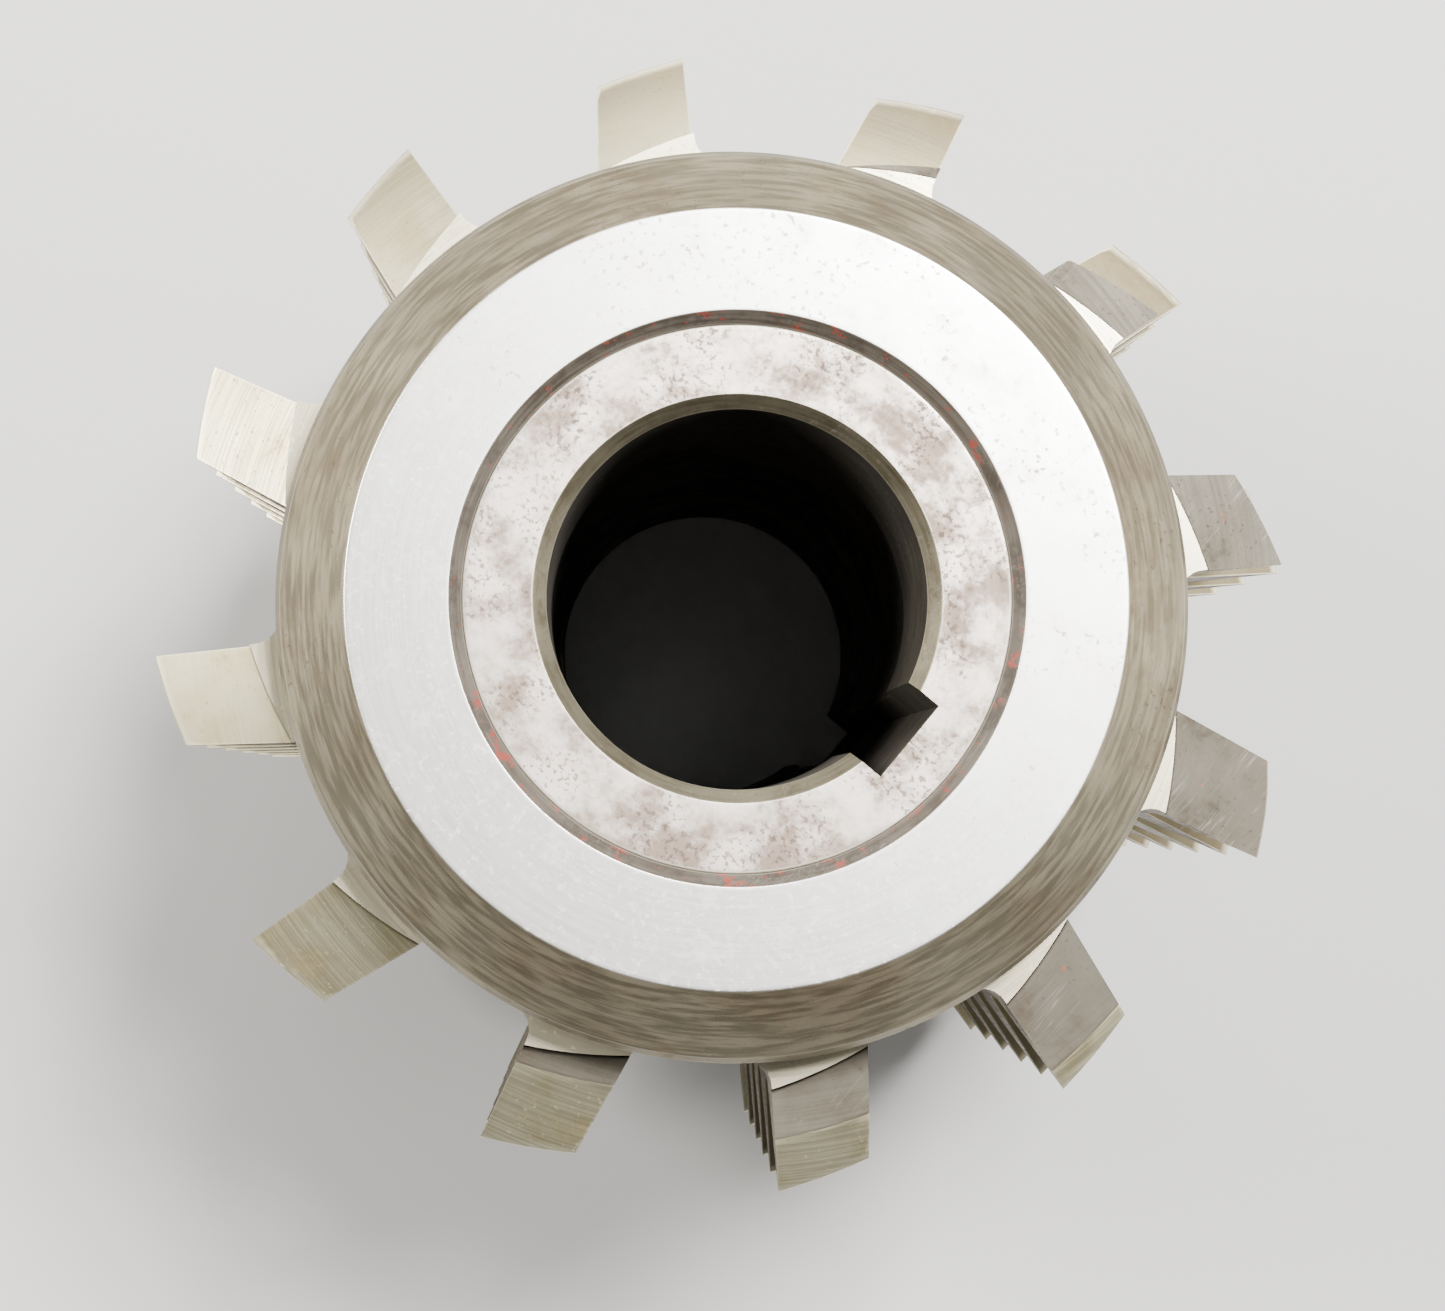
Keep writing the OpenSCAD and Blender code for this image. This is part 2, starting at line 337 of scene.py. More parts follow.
def steelFinish(name, look):
    # One steel finish. Clouds, tool marks, bands, stains, oil, rust, specks, scratches and the painted shade,
    # with some grime in it, at the foot of a step are laid over the plain colour one by one, each by its mask
    # times its depth, and the brighter edges, worn and with a painted highlight, over them all. Roughness is
    # the plain one plus a share of some masks. The bump's height is marks less pits less scratches.
    material = bpy.data.materials.new(name)
    material.use_nodes = True
    tree = material.node_tree
    shader = tree.nodes["Principled BSDF"]
    shader.inputs["Metallic"].default_value = look["metallic"]
    marks = placeGroup(tree, marksGroup, {
        "Lines per metre": look["lines"], "Height share": look["heightShare"], "Wander": look["wander"]})
    stain = placeGroup(tree, stainGroup, {
        "Size": look["stainSize"], "Spread": look["stainSpread"], "Softness": look["stainSoftness"]})
    rust = placeGroup(tree, stainGroup, {
        "Size": look["rustSize"], "Spread": look["rustSpread"], "Softness": masks["rustSoftness"]})
    specks = placeGroup(tree, specksGroup, {
        "Specks per metre": look["specks"], "Threshold": look["speckFrom"]})
    scratch = placeGroup(tree, scratchGroup, {"Scratches per metre": look["scratches"]})
    # painted shade, with some grime in it, at the foot of a step: darker where little stands above the root
    foot = vertexValue(tree, "foot")
    cloud = ramp(tree, stain.outputs["Cloud"], *masks["cloud"])
    parts = tree.nodes.new("ShaderNodeSeparateXYZ")
    feed(tree, parts.inputs[0], objectPoint(tree))
    fromMiddle = maths(tree, "ABSOLUTE", maths(tree, "SUBTRACT", parts.outputs[2], frontZ / 2))
    waver = maths(tree, "MULTIPLY", stain.outputs["Cloud"], masks["usedRagged"])
    ragged = maths(tree, "ADD", fromMiddle, waver)
    used = ramp(tree, ragged, masks["usedFrom"], masks["usedFrom"] + masks["usedFade"], 1.0, 0.0)
    line = ramp(tree, marks.outputs["Marks"], *masks["line"])
    band = ramp(tree, marks.outputs["Bands"], *masks["band"])
    layers = (
        (cloud, 1.0, "second"), (line, look["lineDepth"], "lineColour"),
        (band, look["bandDepth"], "bandColour"),
        (stain.outputs["Stain"], look["stainDepth"], "stain"), (used, look["usedDepth"], "oil"),
        (rust.outputs["Stain"], look["rustDepth"], "rust"),
        (specks.outputs["Specks"], look["speckDepth"], "speck"),
        (scratch.outputs["Scratches"], look["scratchDepth"], "scratch"), (foot, look["footDepth"], "footShadeAndGrime"))
    colour = look["colour"] + (1,)
    for mask, share, tint in layers:
        if share > 0:
            colour = blendColour(tree, maths(tree, "MULTIPLY", mask, share), colour, look[tint] + (1,))
    # brighter edges: real wear together with a painted highlight
    uneven = maths(tree, "MULTIPLY", stain.outputs["Cloud"], masks["wearAndHighlightRagged"])
    wearAndHighlightMask = ramp(tree, maths(tree, "ADD", vertexValue(tree, "wearAndHighlight"), uneven), *masks["wearAndHighlightMask"])
    colour = blendColour(tree, maths(tree, "MULTIPLY", wearAndHighlightMask, look["edgeShare"]), colour, look["edge"] + (1,))
    feed(tree, shader.inputs["Base Color"], colour)
    dull = look["rough"]
    offLine = maths(tree, "SUBTRACT", line, 0.5)
    for mask, share in ((stain.outputs["Stain"], look["stainRough"]), (offLine, look["lineRough"]),
                        (specks.outputs["Specks"], masks["speckRough"]), (foot, masks["footRough"])):
        dull = maths(tree, "ADD", dull, maths(tree, "MULTIPLY", mask, share), clamp=True)
    feed(tree, shader.inputs["Roughness"], dull)
    pits = maths(tree, "MULTIPLY", specks.outputs["Specks"], look["pit"])
    height = maths(tree, "SUBTRACT", maths(tree, "SUBTRACT", marks.outputs["Marks"], pits),
                   maths(tree, "MULTIPLY", scratch.outputs["Scratches"], look["scratchDepth"]))
    bump = tree.nodes.new("ShaderNodeBump")
    bump.inputs["Strength"].default_value = look["bump"]
    bump.inputs["Distance"].default_value = look["relief"]
    feed(tree, bump.inputs["Height"], height)
    feed(tree, shader.inputs["Normal"], bump.outputs[0])
    return material


# What every finish starts from; each finish below changes what makes it its own
plainSteel = {
    "metallic": 0.8, "colour": (0.30, 0.28, 0.24), "second": (0.24, 0.22, 0.18),
    "lines": 2200.0, "heightShare": 0.37, "wander": 3.0, "lineDepth": 0.25, "lineColour": (0.17, 0.155, 0.13),
    "bandDepth": 0.0, "bandColour": (0.20, 0.17, 0.13),
    "stainSize": 70.0, "stainSpread": 0.56, "stainSoftness": 0.12, "stainDepth": 0.5,
    "stain": (0.14, 0.095, 0.05),
    "rustSize": 260.0, "rustSpread": 0.62, "rustDepth": 0.0, "rust": (0.28, 0.05, 0.025),
    "usedDepth": 0.0, "oil": (0.075, 0.052, 0.028),
    "specks": 1500.0, "speckFrom": 0.6, "speckDepth": 0.4, "speck": (0.10, 0.08, 0.06),
    "scratches": 700.0, "scratchDepth": 0.15, "scratch": (0.45, 0.43, 0.38),
    # the foot's colour is painted shade with some grime in it; the edge colour is wear with a painted
    # highlight
    "footDepth": 0.9, "footShadeAndGrime": (0.028, 0.019, 0.011), "edgeShare": 0.5, "edge": (0.60, 0.56, 0.47),
    "rough": 0.42, "stainRough": 0.12, "lineRough": 0.1, "bump": 0.2, "relief": 0.03 * mm, "pit": 0.6,
}

finishes = {
    "groundRing": {
        "metallic": 0.95, "colour": (0.92, 0.905, 0.88), "second": (0.80, 0.785, 0.755), "lines": 3600.0,
        "lineDepth": 0.12, "lineColour": (0.50, 0.485, 0.455), "lineRough": 0.03, "stainSize": 150.0,
        "stainSpread": 0.5, "stainDepth": 0.4, "stain": (0.47, 0.435, 0.375), "stainSoftness": 0.2,
        "specks": 1000.0, "speckFrom": 0.575, "speckDepth": 0.55,
        "speck": (0.22, 0.19, 0.155), "scratchDepth": 0.3, "scratch": (0.93, 0.91, 0.88), "rough": 0.36,
        "bump": 0.06, "edge": (0.85, 0.82, 0.76)},
    "hubFace": {
        "metallic": 0.8, "colour": (0.62, 0.56, 0.505), "second": (0.27, 0.22, 0.18), "lines": 900.0,
        "lineDepth": 0.1, "lineColour": (0.30, 0.25, 0.215), "stainSize": 150.0, "stainSpread": 0.49,
        "stainDepth": 0.7, "stain": (0.21, 0.155, 0.12), "specks": 1300.0, "speckFrom": 0.53,
        "speckDepth": 0.65, "speck": (0.17, 0.12, 0.10), "scratchDepth": 0.2, "rough": 0.5, "bump": 0.18},
    "turnedCone": {
        "metallic": 0.94, "colour": (0.203, 0.182, 0.126), "second": (0.158, 0.136, 0.088), "lines": 2500.0,
        "wander": 7.0, "lineDepth": 0.75, "lineColour": (0.34, 0.30, 0.21), "bandDepth": 0.45,
        "bandColour": (0.09, 0.064, 0.036), "stainSize": 45.0, "stainSpread": 0.5, "stainDepth": 0.3,
        "stain": (0.12, 0.08, 0.045), "specks": 900.0, "speckDepth": 0.3, "speck": (0.06, 0.045, 0.03),
        "scratchDepth": 0.1, "rough": 0.5, "bump": 0.35, "edge": (0.42, 0.39, 0.31)},
    "jointBand": {
        "metallic": 0.35, "colour": (0.065, 0.052, 0.038), "second": (0.04, 0.032, 0.023), "stainSize": 150.0,
        "stainSpread": 0.48, "stain": (0.03, 0.02, 0.012), "rustDepth": 0.8, "rustSize": 330.0,
        "rustSpread": 0.575, "rust": (0.22, 0.03, 0.018), "rough": 0.6, "edge": (0.26, 0.23, 0.18)},
    "boreChamfer": {
        "colour": (0.15, 0.132, 0.085), "second": (0.09, 0.076, 0.045), "stainSize": 120.0,
        "stainSpread": 0.52, "stain": (0.06, 0.045, 0.025), "rough": 0.45, "edgeShare": 0.3,
        "edge": (0.36, 0.33, 0.25)},
    # the bore wall's near-black colour is painted shade inside the bore
    "boreWall": {
        "metallic": 0.3, "colour": (0.035, 0.030, 0.022), "second": (0.02, 0.017, 0.012), "lines": 1500.0,
        "heightShare": 1.0, "lineColour": (0.075, 0.066, 0.05), "scratch": (0.12, 0.11, 0.09),
        "scratchDepth": 0.1, "stainSpread": 0.46, "stain": (0.014, 0.01, 0.007), "rough": 0.65,
        "edgeShare": 0.1},
    "gullet": {
        "metallic": 0.85, "colour": (0.20, 0.178, 0.13), "second": (0.155, 0.13, 0.09), "heightShare": 1.0,
        "lineDepth": 0.4, "lineColour": (0.26, 0.235, 0.175), "stainSize": 38.0, "stainSpread": 0.5,
        "stainSoftness": 0.3, "stainDepth": 0.35, "stain": (0.085, 0.06, 0.036), "usedDepth": 0.35,
        "specks": 1100.0, "rustDepth": 0.25, "rustSpread": 0.64, "rough": 0.48, "bump": 0.3},
    "groundFlank": {
        "metallic": 0.93, "colour": (0.50, 0.462, 0.31), "second": (0.42, 0.368, 0.215), "lines": 4200.0,
        "lineDepth": 0.14, "lineColour": (0.31, 0.26, 0.16), "stainSize": 110.0, "stainSpread": 0.55,
        "stainDepth": 0.45, "stain": (0.24, 0.175, 0.075), "usedDepth": 0.72, "rustDepth": 0.5,
        "rustSpread": 0.65, "rust": (0.30, 0.075, 0.03), "speckFrom": 0.62, "speck": (0.16, 0.12, 0.06),
        "rough": 0.45, "bump": 0.14, "edgeShare": 0.75, "edge": (0.66, 0.61, 0.44)},
    "endCut": {
        "metallic": 0.6, "colour": (0.092, 0.082, 0.061), "second": (0.065, 0.054, 0.037), "lineDepth": 0.3,
        "lineColour": (0.118, 0.107, 0.083), "stainSize": 90.0, "stainSpread": 0.54, "stainDepth": 0.4,
        "stain": (0.06, 0.042, 0.025), "rustDepth": 0.6, "rustSpread": 0.64, "speckFrom": 0.6, "rough": 0.58,
        "footDepth": 0.85, "edge": (0.40, 0.37, 0.29)},
    "rootEnd": {
        "metallic": 0.75, "colour": (0.58, 0.52, 0.35), "second": (0.48, 0.41, 0.25), "lineDepth": 0.1,
        "stainSpread": 0.57, "stain": (0.32, 0.23, 0.11), "rough": 0.38, "footDepth": 0.0,
        "edge": (0.75, 0.70, 0.55)},
    # the cutting face's dark brown colour and heavy stains are partly painted shade of the gullet and partly
    # residue; its bright edges are partly a painted highlight
    "cuttingFace": {
        "metallic": 0.9, "colour": (0.24, 0.205, 0.135), "second": (0.155, 0.125, 0.075), "heightShare": 0.05,
        "stainSize": 90.0, "stainSpread": 0.48, "stainDepth": 0.6, "stain": (0.07, 0.045, 0.022),
        "usedDepth": 0.7, "oil": (0.045, 0.03, 0.017), "rustDepth": 0.6, "rustSpread": 0.6, "rough": 0.42,
        "edgeShare": 0.8, "edge": (0.62, 0.57, 0.42)},
}
steel = {name: steelFinish(name, {**plainSteel, **changes}) for name, changes in finishes.items()}
print("finishes:", ", ".join(steel))


endRing = {
    "spigotRadius": 36 * mm, "boreChamfer": 1.65 * mm, "coneSize": 10.25 * mm, "edgeChamfer": 0.8 * mm,
    "skirtWall": 8.25 * mm, "skirtDepth": 7 * mm, "segments": 288,
    "faceBand": 0.06 * mm, "mouthBand": 0.05 * mm,  # how far a finish reaches into the rounding at its edge
    "finishes": ("groundRing", "turnedCone", "jointBand"),
}


def makeEndRing(name, node, front):
    # the ring's section carried round the axis; a front ring is the rear one with its heights turned over
    e = endRing
    inner, outer, cone, chamfer = e["spigotRadius"], ringRadius, e["coneSize"], e["edgeChamfer"]
    skirt, inside = outer - e["skirtWall"], ringDepth - e["skirtDepth"]
    corners = [
        (inner + e["boreChamfer"], 0, 0.12 * mm), (outer - cone, 0, 0.3 * mm),
        (outer - chamfer, cone - chamfer, 0.15 * mm), (outer, cone + chamfer, 0.2 * mm),
        (outer, ringDepth, 0.15 * mm), (skirt, ringDepth, 0.1 * mm), (skirt, inside, 0.1 * mm),
        (inner, inside, 0.1 * mm), (inner, e["boreChamfer"], 0.1 * mm)]
    path, edge = roundedOutline(corners)
    middle = (path + np.roll(path, -1, axis=0)) / 2
    mouth = inner + e["boreChamfer"] - e["mouthBand"]
    ground, dull, joint = range(3)
    finish = np.full(len(path), dull)
    finish[(middle[:, 1] < e["faceBand"]) & (middle[:, 0] > mouth)] = ground
    finish[middle[:, 0] < mouth] = joint
    angle = np.linspace(0, 2 * np.pi, e["segments"], endpoint=False)[:, None]
    height = frontZ - path[:, 1] if front else path[:, 1]
    points = np.stack([path[:, 0] * np.cos(angle), path[:, 0] * np.sin(angle),
                       np.broadcast_to(height, (len(angle), len(path)))], axis=-1)
    buildPiece(name, ringShell(points, finish, edge), [steel[n] for n in e["finishes"]], node)


makeEndRing("frontEndRing", "front_end_ring", True)
makeEndRing("rearEndRing", "rear_end_ring", False)
print("end rings made")


carrier = {
    "boreRadius": 25 * mm, "boreChamfer": 1.8 * mm, "landLength": 32 * mm, "relief": 1 * mm,
    "keyWidth": 12 * mm, "keyFloor": 29.2 * mm, "recess": 1.6 * mm, "coreRadius": 61.6 * mm,
    "shoulderRadius": 53 * mm, "slotFloor": 46 * mm, "slotBack": 13.6 * mm, "slotToe": 4 * mm,
    "slotBreak": 0.35 * mm, "firstBlade": 14.5, "blades": 12,
    "floorColumns": 7, "landColumns": 15,
    "keyBlend": 3,  # degrees from the keyway's side to the round bore
    "finishes": ("hubFace", "boreChamfer", "boreWall", "gullet"),
}
shoulderFrom = ringDepth - endRing["skirtDepth"]


def carrierShell():
    # One closed skin: a section carried round the axis. Inside, a column of the grid is pushed out to the
    # keyway's outline where that is wider than the bore. Outside, a column lies on a slot's flat floor, at
    # the top of a slot's wall, or on the land between two slots, and its angle follows the parallel walls
    # as the radius grows.
    c = carrier
    bore, mouth = c["boreRadius"], c["boreRadius"] + c["boreChamfer"]
    spigot, floor = endRing["spigotRadius"], c["slotFloor"]
    step, cut, blend = 360 / c["blades"], c["slotBreak"], c["keyBlend"]

    # the rear half of the section, from the relief in the bore out to the core; the front half is its
    # mirror image
    half = [
        (bore + c["relief"], c["landLength"] + c["relief"], 0.2 * mm), (bore, c["landLength"], 0.2 * mm),
        (bore, c["recess"] + c["boreChamfer"], 0.15 * mm), (mouth, c["recess"], 0.12 * mm),
        (spigot, c["recess"], 0.3 * mm), (spigot, shoulderFrom, 0.1 * mm),
        (c["shoulderRadius"], shoulderFrom, 0.1 * mm), (c["shoulderRadius"], ringDepth, 0.1 * mm),
        (c["coreRadius"], ringDepth, 0.25 * mm)]
    path, edge = roundedOutline(half + [(r, frontZ - z, size) for r, z, size in half[::-1]])
    radius, height = path[None, :, 0], path[None, :, 1]
    outside, inBore = radius > floor, radius < mouth + 0.5 * mm  # the 0.5 takes in the mouth's rounding

    # columns, as angles in degrees from the keyway's middle: each slot's floor, wall, land and wall
    toeAt, backAt, wallAt, landAt, nextWallAt = -4.2, 14.3, 14.8, (15.2, 25.2), 25.5
    sector = np.concatenate([np.linspace(toeAt, backAt, c["floorColumns"]), [wallAt],
                             np.linspace(*landAt, c["landColumns"]), [nextWallAt]])
    keyCorner = math.degrees(math.atan(c["keyWidth"] / 2 / c["keyFloor"]))
    keySide = math.degrees(math.asin(c["keyWidth"] / 2 / bore))
    key = np.array([0, keyCorner / 2, keyCorner, keySide, keySide + blend])
    column = (c["firstBlade"] + step * np.arange(c["blades"])[:, None] + sector).ravel() % 360
    column = np.unique(np.concatenate([column, key, 360 - key[1:]]).round(6))[:, None]
    local = (column - c["firstBlade"] - toeAt + 1e-4) % step + toeAt  # the angle from its own cutting face

    # inside, the columns by the keyway turn so that they stay on its side walls at every radius
    knots = np.concatenate([key[2:], 360 - key[:1:-1]])
    side = np.degrees(np.arcsin(c["keyWidth"] / 2 / np.minimum(path[:, 0], mouth)))
    turned = np.stack([np.interp(column[:, 0], np.concatenate([[0], knots, [360]]), [
        0, keyCorner, s, keySide + blend, 360 - blend - keySide, 360 - s, 360 - keyCorner, 360])
        for s in side], axis=1)
    angle = np.radians(np.where(inBore, turned, column))
    around = np.abs((angle + np.pi) % (2 * np.pi) - np.pi)
    corner = math.radians(keyCorner)
    keyEnd = c["keyFloor"] / np.cos(np.minimum(around, corner))
    keyWall = np.where(around < np.pi / 2, c["keyWidth"] / 2 / np.sin(np.clip(around, corner, np.pi / 2)), 0)
    outline = np.where(around <= corner + 1e-6, keyEnd, keyWall)
    reach = np.where(inBore, np.maximum(radius, outline), radius)

    # outside, where each column stands: on a slot's floor, at the top of its wall, or on the land
    near = 0.1
    isFloor = local < backAt + near
    isWall = ((local > backAt + near) & (local < landAt[0] - near)) | (local > landAt[1] + near)
    lip = np.maximum(radius - cut, floor)
    low = np.degrees(np.arcsin(c["slotBack"] / np.maximum(radius, floor)) + cut / radius)
    high = step - np.degrees(np.arcsin(c["slotToe"] / np.maximum(radius, floor)) + cut / radius)
    share = np.clip((local - landAt[0]) / (landAt[1] - landAt[0]), 0, 1)
    wallAngle = np.where(share < 0.5, np.degrees(np.arcsin(c["slotBack"] / lip)),
                         step - np.degrees(np.arcsin(c["slotToe"] / lip)))
    bladeAngle = np.radians(column - local)
    landAngle = bladeAngle + np.radians(np.where(isWall, wallAngle, low + (high - low) * share))
    across = np.interp(local, [toeAt, backAt], [-c["slotToe"], c["slotBack"]])
    floorAngle, floorReach = bladeAngle + np.arctan2(across, floor), np.hypot(across, floor)
    angle = np.where(outside, np.where(isFloor, floorAngle, landAngle), angle)
    reach = np.where(outside, np.where(isFloor, floorReach, np.where(isWall, lip, radius)), reach)
    points = np.stack([reach * np.cos(angle), reach * np.sin(angle), height + 0 * angle], axis=-1)

    # the tops of the slot walls and the rounded corners get the brighter edge: wear with a painted highlight
    wearAndHighlight = np.where(outside & isFloor, 0, np.where(outside & isWall, 1, edge))
    middle = (path + np.roll(path, -1, axis=0)) / 2
    fromEnd = np.minimum(middle[:, 1], frontZ - middle[:, 1])
    hub, chamfer, wall, gullet = range(4)
    finish = np.full(len(path), gullet)
    finish[middle[:, 0] < mouth] = chamfer
    finish[(middle[:, 0] < mouth) & (fromEnd > c["recess"] + c["boreChamfer"])] = wall
    finish[(fromEnd < c["recess"] + endRing["mouthBand"]) & (middle[:, 0] > mouth)] = hub
    return ringShell(points, finish, wearAndHighlight)


buildPiece("hobBody", carrierShell(), [steel[n] for n in carrier["finishes"]], "hob_body")
print("carrier made")


blade = {
    "pitch": 18.85 * mm, "tipRadius": 80 * mm, "toothHeight": 14.4 * mm, "crestWidth": 0.7 * mm,
    "crestRadius": 0.4 * mm, "rootFillet": 1.1 * mm, "flankAngle": 20.0,
    "fall": 15 * mm,  # how far the relieved top drops for each radian behind the cutting face
    "gulletRadius": 3.5 * mm, "heelSlope": 3.6, "setback": 1.8 * mm, "threadOffset": 0.1 * mm,
    # how far the painted shade at a tooth's foot reaches up, with some grime in it, and its width beyond the
    # groove
    "grooveWidth": 0.45 * mm, "grooveDepth": 0.6 * mm, "footShadeReach": 0.7 * mm, "footShadeWidth": 0.3 * mm,
    # the crest's share of the brighter edge, worn and with a painted highlight; the rim's drop is geometry
    "rimWear": 0.45 * mm, "crestWearAndHighlight": 0.3,
    # the heel's angle behind the cutting face, in radians: a first guess, and more than it ever is
    "heelGuess": 0.2, "heelMost": 0.3, "heelRounds": 8,
    "cornerSteps": 6, "flankSteps": 8,
    # shares of the cutting face's height, of the top's length and of the heel's height at which there is a
    # point
    "faceRows": (0.12, 0.4, 0.7, 0.9, 0.97, 1.0), "topRows": (0.03, 0.1, 0.25, 0.45, 0.65, 0.83, 0.95, 1.0),
    "heelRows": (0.06, 0.25, 0.5, 0.75, 1.0), "gulletSteps": 8,
    "finishes": ("gullet", "cuttingFace", "groundFlank", "endCut", "rootEnd"),
}
teethFrom = ringDepth + blade["setback"]
teethTo = frontZ - teethFrom
rootRadius = blade["tipRadius"] - blade["toothHeight"]
threadLead = blade["pitch"] / (2 * math.pi)  # how far the thread climbs for each radian


def rackProfile(crestHeight):
    # Heights and radii down one row of teeth at the cutting face: crest, rounded corner, straight flank,
    # root fillet and root, drawn for half a tooth, mirrored, and repeated once a pitch. The third list is 1
    # on worn corners, which also carry a painted highlight.
    b = blade
    n = b["cornerSteps"]
    lean = math.radians(b["flankAngle"])
    turn = math.pi / 2 - lean
    top = np.linspace(math.pi / 2, lean, n)
    low = np.linspace(math.pi + lean, 1.5 * math.pi, n)
    crestEdge = b["crestWidth"] / 2
    crestCentre = crestEdge - b["crestRadius"] * math.tan(turn / 2)
    rootCentre = crestEdge + b["toothHeight"] * math.tan(lean) + b["rootFillet"] * math.tan(turn / 2)
    out = np.concatenate([crestCentre + b["crestRadius"] * np.cos(top),
                          rootCentre + b["rootFillet"] * np.cos(low)])
    high = np.concatenate([b["tipRadius"] - b["crestRadius"] * (1 - np.sin(top)),
                           rootRadius + b["rootFillet"] * (1 + np.sin(low))])
    share = np.linspace(0, 1, b["flankSteps"])[1:-1]
    flankOut = out[n - 1] + (out[n] - out[n - 1]) * share
    flankHigh = high[n - 1] + (high[n] - high[n - 1]) * share
    out = np.concatenate([[0], out[:n], flankOut, out[n:], [b["pitch"] / 2]])
    high = np.concatenate([[b["tipRadius"]], high[:n], flankHigh, high[n:], [rootRadius]])
    corner = np.concatenate([[b["crestWearAndHighlight"]], np.ones(n), np.zeros(len(out) - 1 - n)])
    side = np.concatenate([-out[::-1], out[1:-1]])
    tooth = np.arange(math.ceil(frontZ / b["pitch"]) + 1, -2, -1)[:, None]
    heights = (crestHeight - tooth * b["pitch"] + side).ravel()
    return (heights, np.tile(np.concatenate([high[::-1], high[1:-1]]), len(tooth)),
            np.tile(np.concatenate([corner[::-1], corner[1:-1]]), len(tooth)))


def bladeContours(surface, flat, corner, level=False):
    # One closed contour per height: foot, toe, gullet arc, cutting face, relieved top and heel.
    # surface(angle) gives height and radius at an angle behind the cutting face; the heel leans in by its
    # slope above the core circle. A level contour comes back to its own height at the heel. Painted shade,
    # with some grime in it, darkens where little stands above the root.
    b, c = blade, carrier
    core, back, toe = c["coreRadius"], c["slotBack"], c["slotToe"]
    slope = math.tan(math.radians(b["heelSlope"]))
    heel = np.full_like(flat, b["heelGuess"])
    for _ in range(b["heelRounds"]):
        radius = surface(heel)[1]
        heel = np.arcsin((back - np.maximum(radius * np.cos(heel) - core, 0) * slope) / radius)
    toeTop = math.sqrt(core ** 2 - toe ** 2)
    sweep = np.linspace(math.pi, math.pi / 2, b["gulletSteps"])
    gulletX = toeTop + b["gulletRadius"] * (1 + np.cos(sweep))
    gulletY = b["gulletRadius"] * (np.sin(sweep) - 1)
    face, rows, down = np.array(b["faceRows"]), np.array(b["topRows"]), np.array(b["heelRows"])
    one = np.ones_like(flat)
    faceTop = surface(0 * flat)[1]
    angle = heel * rows
    topZ, topRadius = surface(angle)
    if level:
        topZ[:, -1:] = flat
    heelX, heelY = topRadius[:, -1:] * np.cos(heel), topRadius[:, -1:] * np.sin(heel)
    x = np.hstack([one * c["slotFloor"], one * c["slotFloor"], one * toeTop, one * gulletX,
                   gulletX[-1] + (faceTop - gulletX[-1]) * face, topRadius * np.cos(angle),
                   heelX + (np.minimum(core, heelX) - heelX) * down])
    y = np.hstack([one * back, -one * toe, -one * toe, one * gulletY, 0 * one * face,
                   topRadius * np.sin(angle), heelY + (back - heelY) * down])
    below = 3 + len(sweep) + len(face)  # the points of foot, toe, gullet and cutting face
    z = np.hstack([flat * np.ones(below), topZ, topZ[:, -1:] * np.ones(len(down))])
    first = below - 1
    last = first + len(rows)
    wearAndHighlight, foot = np.zeros_like(x), np.zeros_like(x)
    wearAndHighlight[:, first:last + 1] = corner
    wearAndHighlight[:, [first, last]] = 1
    # painted shade, with some grime in it, at the tooth's foot: darkest at the root, gone by the shade's
    # reach
    above = np.hstack([faceTop - rootRadius, topRadius - rootRadius + b["fall"] * angle])
    foot[:, first:last + 1] = 1 - np.clip(above / b["footShadeReach"], 0, 1) ** 2
    return np.stack([x, y, z], axis=-1), wearAndHighlight, foot


def tongueContours(levels):
    # the same contour drawn in to the circle of the shoulder, so that the blade stays one closed skin
    b, c = blade, carrier
    reach = c["shoulderRadius"]
    toeAngle, backAngle = -math.asin(c["slotToe"] / reach), math.asin(c["slotBack"] / reach)
    angle = np.concatenate([
        [toeAngle], np.linspace(toeAngle, 0, b["gulletSteps"] + 1)[1:], np.zeros(len(b["faceRows"])),
        backAngle * np.array(b["topRows"]), np.full(len(b["heelRows"]), backAngle)])
    x = np.concatenate([[c["slotFloor"]] * 2, reach * np.cos(angle)])
    y = np.concatenate([[c["slotBack"], -c["slotToe"]], reach * np.sin(angle)])
    flat = np.array(levels)[:, None]
    points = np.stack(np.broadcast_arrays(x, y, flat), axis=-1)
    blank = np.zeros(points.shape[:2])
    return points, blank, blank


def endStep(heights, radii, plane, side):
    # From the teeth's end plane to the blade's own end: the rim of the cut face, the face, a narrow groove
    # at its foot and the root land. Each row stands no higher above the root than its own reach, and the
    # groove is only as deep as the tooth there lets it be, so that it fades out where no tooth is cut.
    b = blade
    order = slice(None) if side > 0 else slice(None, None, -1)
    # the first two rows reach past the groove by the width of the painted shade at the foot
    near, groove = b["grooveWidth"] + b["footShadeWidth"], b["grooveWidth"]
    reach = np.array([near, near, groove, groove, 0, 0])[order, None]
    rim = np.array([1, 0, 0, 0, 0, 0])[order, None]
    sunk = np.array([0, 0, 0, 1, 1, 0])[order, None] * b["grooveDepth"]
    rise = np.array([0, 0, 0, 0, 0, 1])[order, None] * b["setback"]

    def surface(angle):
        gap = np.interp(plane - threadLead * angle, heights, radii) - rootRadius
        deep = np.clip((gap - b["grooveWidth"]) / b["grooveWidth"], 0, 1)
        kept = np.maximum(np.minimum(gap, reach), rim * (gap - b["rimWear"]))
        return plane + side * (rise - sunk * deep), rootRadius - b["fall"] * angle + kept

    points, _, foot = bladeContours(surface, plane + side * rise, 0.0, level=True)
    return points, np.where(rise > 0, 1.0, np.zeros_like(foot)), np.where(rise > 0, 0.0, foot)


